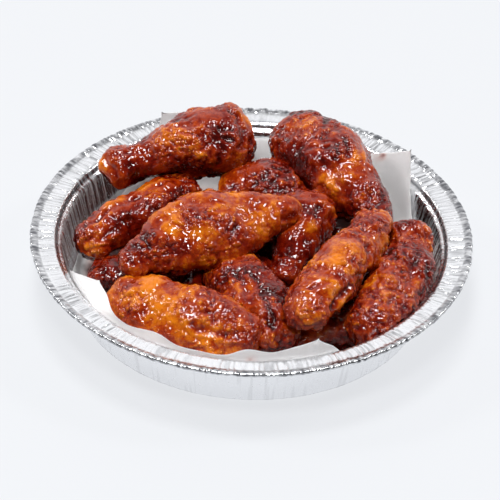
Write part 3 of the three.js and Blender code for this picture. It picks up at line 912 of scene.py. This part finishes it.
def forms(name, points):
    """Height of a wing's lobes and pits, in mm, and what they add to its tone, which is partly painted
    shade. Pits are softened, as the glaze half fills them."""
    height, tone = np.zeros(len(points)), np.zeros(len(points))
    ragged = points + 1.4 * np.column_stack([waves(points, 4, seed=81 + axis) for axis in range(3)])
    for place, reach, rise, shift in FORMS.get(name, ()):
        gone = np.linalg.norm(ragged - np.array(place), axis=1) / reach
        height += max(rise, 0.3 * rise) * np.exp(-(gone**2))
        tone += (shift if rise >= 0 else 0.35 * shift) * np.exp(-((gone / 1.1) ** 2))
    return height, tone


def crust(points, share, seed):
    """Height of the batter over the plain skin, in mm, and where it is craggy, from 0 to 1."""
    bend = points + 1.5 * np.column_stack([waves(points, 7, seed + axis) for axis in range(3)])
    patch = waves(points, 15, seed + 5) + 0.6 * waves(points, 7, seed + 6)
    craggy = step_between(-0.3, 0.3, patch + 1.6 * (share - 0.5))
    wrinkle = 1 - 2 * np.abs(waves(bend, WRINKLE, seed + 8))
    lumps = nodules(bend, LUMP, seed + 20)
    knobs = np.clip(nodules(bend, KNOB, seed + 30) - 0.4, 0, 1)
    height = 0.9 * waves(bend, SWELL, seed + 7)
    height += craggy * (0.4 * wrinkle + 0.8 * lumps + 1.0 * knobs)
    height += (1 - craggy) * (0.25 * wrinkle + 0.6 * knobs)
    return height - height.mean(), craggy


def held_down(points):
    """The points, with the highest eased down to stay under the serving's top."""
    over = np.maximum(points[:, 2] - (CEILING / MM - HEADROOM), 0)
    lower = points.copy()
    lower[:, 2] += MOST_OVER * (1 - np.exp(-over / MOST_OVER)) - over
    return lower


def coat_tone_and_painted_shade(points, normals, bulge, craggy, seed):
    """What a wing's form adds to its tone: the coat is thin and light where a place stands out and dark on
    craggy batter, with patches of 10 mm and of 4 mm. The darkening in hollows is partly pooled glaze and
    partly painted shade, and the darkening underneath is painted shade."""
    tone = 0.36 * np.clip(bulge, -0.6, 0.6) - 0.14 * (craggy - 0.5) - 0.06
    tone += 0.26 * waves(points, 10, seed + 50) + 0.08 * waves(points, 4, seed + 51)
    # painted shade: darker where the skin faces down
    return tone + 0.15 * np.minimum(normals[:, 2] - 0.4, 0)


def glazed_wing(name, bare, share, seed, grain, crag):
    """A wing's mesh, grown over its solid, with the tone and the roughness of its coat; the tone holds
    painted shade too.
    """
    rounded = ("SUBSURF", {"levels": 2, "render_levels": 2})
    even = ("REMESH", {"mode": "VOXEL", "voxel_size": grain})
    mesh = with_modifiers(merged_copy(name), rounded, even)
    passes = (SMOOTHED_GRAIN * MM / grain) ** 2
    move(mesh, smoothed(mesh, read(mesh, "co"), round(FACET_ROUNDS * passes)))

    points, normals = read(mesh, "co"), read(mesh, "normal")
    batter, craggy = crust(points, share, seed)
    lobes, shift = forms(name, points)
    raised = batter * crag / MM + folds_height(name, points) + lobes + BATTER
    grown = smoothed(mesh, points + normals * raised[:, None], round(GLAZE_ROUNDS * passes))
    grown = held_down(grown)
    move(mesh, grown)

    broad = smoothed(mesh, grown, round(BROAD_ROUNDS * passes))
    bulge = np.einsum("ij,ij->i", grown - broad, normals)
    tone = bare + shift + coat_tone_and_painted_shade(points, normals, bulge, craggy, seed)
    # the coat's tone, with painted shade in hollows and underneath
    paint(mesh, "tone", np.clip(tone, 0.1, 1))
    paint(mesh, "rough", craggy * step_between(0.05, 0.3, tone))
    return mesh


class WINGS_OT_wings(bpy.types.Operator):
    """Grows the batter on each wing and works out where the glaze pools, with painted shade in its hollows
    and underneath
    """

    bl_idname = "wings.wings"
    bl_label = "Glazed wings"

    def execute(self, context):
        settings = context.scene.wing_settings
        material = glaze_material(settings.crust, settings.glaze, settings.syrup)
        for number, (name, (bare, share)) in enumerate(WINGS.items()):
            coarser = 2.0 if name in DEEP else 1.0
            seed = 100 * (number + 1)
            mesh = glazed_wing(name, bare, share, seed, coarser * settings.grain, settings.crag)
            show(name + "_glazed", mesh, material, name)
        return {"FINISHED"}


# ---------------------------------------------------------------- stage

TABLE_HALF_WIDTH = 3.0

# the camera: its distance and its aim on the pan's middle, in metres, the long lens that it
# has, and its angles of roll, pitch and yaw off a level aim, in degrees
DISTANCE = 1.556
AIM = (0, 0, 0.0369)
LENS = 216
SENSOR = 36
ROLL, PITCH, YAW = -2.19, 0.31, -0.02

# how bright the light all round is, from (0) a little in front to (1) far at the back
SKY = [(0.0, 0.06), (0.36, 0.09), (0.74, 0.42), (1.0, 1.05)]


def lamp(name, power, size, place):
    """A softbox of a given width and height that points at the serving's middle."""
    data = bpy.data.lights.new(name, "AREA")
    data.energy = power
    data.shape = "RECTANGLE"
    data.size, data.size_y = size
    made = bpy.data.objects.new(name, data)
    bpy.context.scene.collection.objects.link(made)
    made.location = place
    made.rotation_euler = (Vector((0, 0, 0.03)) - Vector(place)).to_track_quat("-Z", "Y").to_euler()


def table(colour, glow):
    """A backlit table of white acrylic, so that shadows on it stay faint."""
    work = bmesh.new()
    bmesh.ops.create_grid(work, x_segments=1, y_segments=1, size=TABLE_HALF_WIDTH)
    mesh = bpy.data.meshes.new("table_top")
    work.to_mesh(mesh)
    work.free()
    floor = bpy.data.objects.new("table_top", mesh)
    bpy.context.scene.collection.objects.link(floor)
    material, tree = new_material("backlit_acrylic_table")
    acrylic = {
        "Base Color": linear("606162"),
        "Roughness": 0.6,
        "Specular IOR Level": 0.1,
        "Emission Color": linear(colour),
        "Emission Strength": glow,
    }
    shader = node(tree, "ShaderNodeBsdfPrincipled", acrylic)
    node(tree, "ShaderNodeOutputMaterial", {"Surface": shader})
    mesh.materials.append(material)


def studio(strength):
    """The light all round: dim in front and overhead, bright far at the back, and with a pale
    ring near the table, but for its front."""
    world = bpy.data.worlds.new("studio")
    bpy.context.scene.world = world
    world.use_nodes = True
    tree = world.node_tree
    tree.nodes.clear()
    way = node(tree, "ShaderNodeTexCoord").outputs["Generated"]
    axes = node(tree, "ShaderNodeSeparateXYZ", {"Vector": way}).outputs
    back = node(tree, "ShaderNodeMapRange", {"Value": axes["Y"], **limits((-0.3, 0.8), (0.0, 1.0))})
    greys = [(place, (glow, glow, 1.02 * glow, 1.0)) for place, glow in SKY]
    sky = node(tree, "ShaderNodeValToRGB", {"Fac": back}, stops=greys)
    low = node(tree, "ShaderNodeMapRange", {"Value": axes["Z"], **limits((0.45, 0.15), (0.0, 0.85))})
    side = node(tree, "ShaderNodeMapRange", {"Value": axes["Y"], **limits((-0.6, 0.1), (0.0, 1.0))})
    share = node(tree, "ShaderNodeMath", {0: low, 1: side}, operation="MULTIPLY")
    ring = node(tree, "ShaderNodeMix", {"Factor": share, "A": sky, "B": linear("FFFFFF")}, data_type="RGBA")
    light = node(tree, "ShaderNodeBackground", {"Color": ring.outputs["Result"], "Strength": strength})
    node(tree, "ShaderNodeOutputWorld", {"Surface": light})


def camera(lift):
    """The camera, at an angle above the table."""
    data = bpy.data.cameras.new("camera")
    data.sensor_width = SENSOR
    data.lens = LENS
    data.clip_start, data.clip_end = 0.1, 20
    made = bpy.data.objects.new("camera", data)
    bpy.context.scene.collection.objects.link(made)
    back = Vector((0, -math.cos(lift), math.sin(lift)))
    level = Matrix(((1, 0, 0), back.cross((1, 0, 0)), back)).transposed()
    turns = [(ROLL, "Z"), (PITCH, "X"), (YAW, "Y")]
    roll, pitch, yaw = (Matrix.Rotation(math.radians(angle), 3, axis) for angle, axis in turns)
    pose = (level @ (roll @ pitch @ yaw).transposed()).to_4x4()
    pose.translation = back * DISTANCE + Vector(AIM)
    made.matrix_world = pose
    bpy.context.scene.camera = made


class WINGS_OT_stage(bpy.types.Operator):
    """Sets the table, the soft light and the camera"""

    bl_idname = "wings.stage"
    bl_label = "Stage"

    def execute(self, context):
        settings = context.scene.stage_settings
        table(settings.floor, settings.glow)
        studio(settings.fill)
        lamp("softbox_overhead", settings.key, size=(0.65, 0.6), place=(-0.15, 0.1, 2.4))
        lamp("softbox_front", settings.front, size=(0.5, 0.45), place=(-0.2, -1.2, 2.3))
        lamp("softbox_left", settings.sides, size=(0.4, 0.4), place=(-1.6, 0.4, 1.6))
        lamp("softbox_right", settings.sides, size=(0.4, 0.4), place=(1.6, 0.4, 1.6))
        camera(settings.height)
        context.scene.view_settings.view_transform = "Standard"
        return {"FINISHED"}


class WINGS_PT_serving(bpy.types.Panel):
    """The serving's pieces, in the order they are made"""

    bl_label = "Chicken wings serving"
    bl_idname = "WINGS_PT_serving"
    bl_space_type = "VIEW_3D"
    bl_region_type = "UI"
    bl_category = "Wings"

    def draw(self, context):
        for group, operator in GROUPS:
            box = self.layout.box()
            settings = getattr(context.scene, group)
            for name in settings.bl_rna.properties.keys():
                if name not in ("rna_type", "name"):
                    box.prop(settings, name)
            box.operator(operator)


GROUPS = [
    ("pan_settings", "wings.foil_pan"),
    ("paper_settings", "wings.paper"),
    ("wing_settings", "wings.wings"),
    ("stage_settings", "wings.stage"),
]
SETTINGS = [PanSettings, PaperSettings, WingSettings, StageSettings]
CLASSES = SETTINGS + [WINGS_OT_foil_pan, WINGS_OT_paper, WINGS_OT_wings, WINGS_OT_stage, WINGS_PT_serving]


def register():
    for made in CLASSES:
        bpy.utils.register_class(made)
    for (group, _), kind in zip(GROUPS, SETTINGS):
        setattr(bpy.types.Scene, group, bpy.props.PointerProperty(type=kind))


def unregister():
    for group, _ in GROUPS:
        delattr(bpy.types.Scene, group)
    for made in reversed(CLASSES):
        bpy.utils.unregister_class(made)


def main():
    register()
    bpy.ops.wings.foil_pan()
    bpy.ops.wings.paper()
    bpy.ops.wings.wings()
    bpy.ops.wings.stage()


if __name__ == "__main__":
    main()
